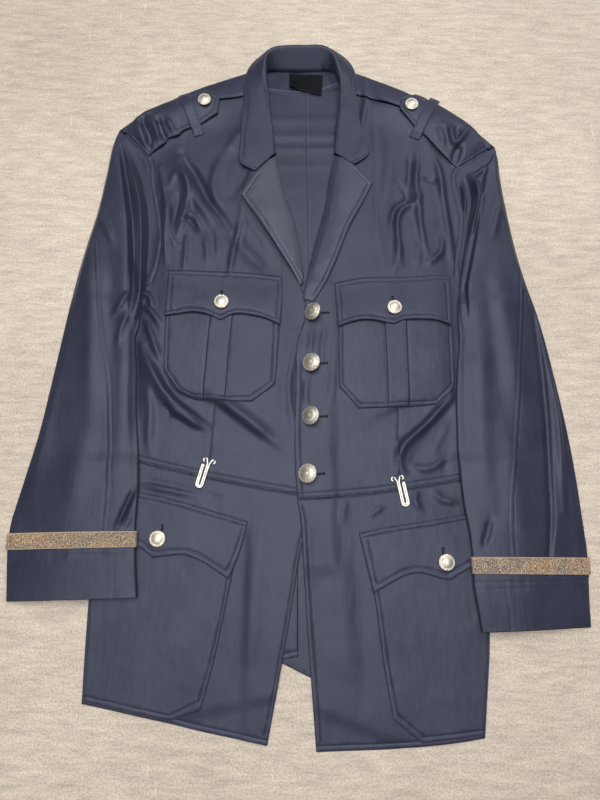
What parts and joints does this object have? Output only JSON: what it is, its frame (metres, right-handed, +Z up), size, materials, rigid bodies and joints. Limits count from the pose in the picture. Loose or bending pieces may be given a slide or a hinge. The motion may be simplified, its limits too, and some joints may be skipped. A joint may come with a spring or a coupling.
{
  "type": "military uniform jacket",
  "caption": "Navy military-style uniform jacket laid flat, buttoned, with shoulder straps, flapped pleated pockets, tweed cuff braid and lift-up wire belt hooks at the waist.",
  "frame": {"origin": "centre of the garment's outline in plan, on the surface it lies on", "axes": "+X towards the wearer's left sleeve, +Y towards the collar, +Z up out of the front"},
  "size_m": [0.6426, 0.879, 0.0235],
  "materials": {
    "navy_cloth": "dark navy twill with a soft sheen, topstitched in dark thread",
    "inner_cloth": "wrong side of the navy twill",
    "label_cloth": "black woven label, left bare",
    "tweed_braid": "flat woven braid in tan, brown and grey",
    "button_metal": "pale silver with a warm tarnish in the relief",
    "hook_steel": "polished round wire"
  },
  "bodies": {
    "jacket": {"back_upper_right": "navy_cloth", "back_upper_left": "navy_cloth", "back_skirt_right": "navy_cloth", "back_skirt_left": "navy_cloth", "front_upper_right": "navy_cloth", "front_upper_left": "navy_cloth", "front_skirt_right": "navy_cloth", "front_skirt_left": "navy_cloth", "lapel_right": "navy_cloth", "lapel_left": "navy_cloth", "collar": "navy_cloth", "neck_facing": "inner_cloth", "neck_label": "label_cloth", "chest_pocket_right": "navy_cloth", "chest_pocket_left": "navy_cloth", "hip_pocket_right": "navy_cloth", "hip_pocket_left": "navy_cloth", "chest_flap_right": "navy_cloth", "chest_flap_left": "navy_cloth", "hip_flap_right": "navy_cloth", "hip_flap_left": "navy_cloth", "sleeve_right": "navy_cloth", "sleeve_left": "navy_cloth", "cuff_right": "navy_cloth", "cuff_left": "navy_cloth", "braid_right": "tweed_braid", "braid_left": "tweed_braid", "shoulder_strap_right": "navy_cloth", "shoulder_strap_left": "navy_cloth", "strap_carrier_right": "navy_cloth", "strap_carrier_left": "navy_cloth", "front_button_1": "button_metal", "front_button_2": "button_metal", "front_button_3": "button_metal", "front_button_4": "button_metal", "chest_button_1": "button_metal", "chest_button_2": "button_metal", "hip_button_1": "button_metal", "hip_button_2": "button_metal", "strap_button_1": "button_metal", "strap_button_2": "button_metal"},
    "hook_right": {"belt_hook_right": "hook_steel"},
    "hook_left": {"belt_hook_left": "hook_steel"}
  },
  "joints": [
    {"name": "hook_right_lift", "type": "hinge", "parent": "jacket", "child": "hook_right", "pos_m": [-0.0995, -0.141, 0.0041], "axis": [-0.9636, 0.2672, 0], "range_deg": [0, 150]},
    {"name": "hook_left_lift", "type": "hinge", "parent": "jacket", "child": "hook_left", "pos_m": [0.1135, -0.161, 0.00473], "axis": [-0.9833, -0.1822, 0], "range_deg": [0, 150]}
  ]
}
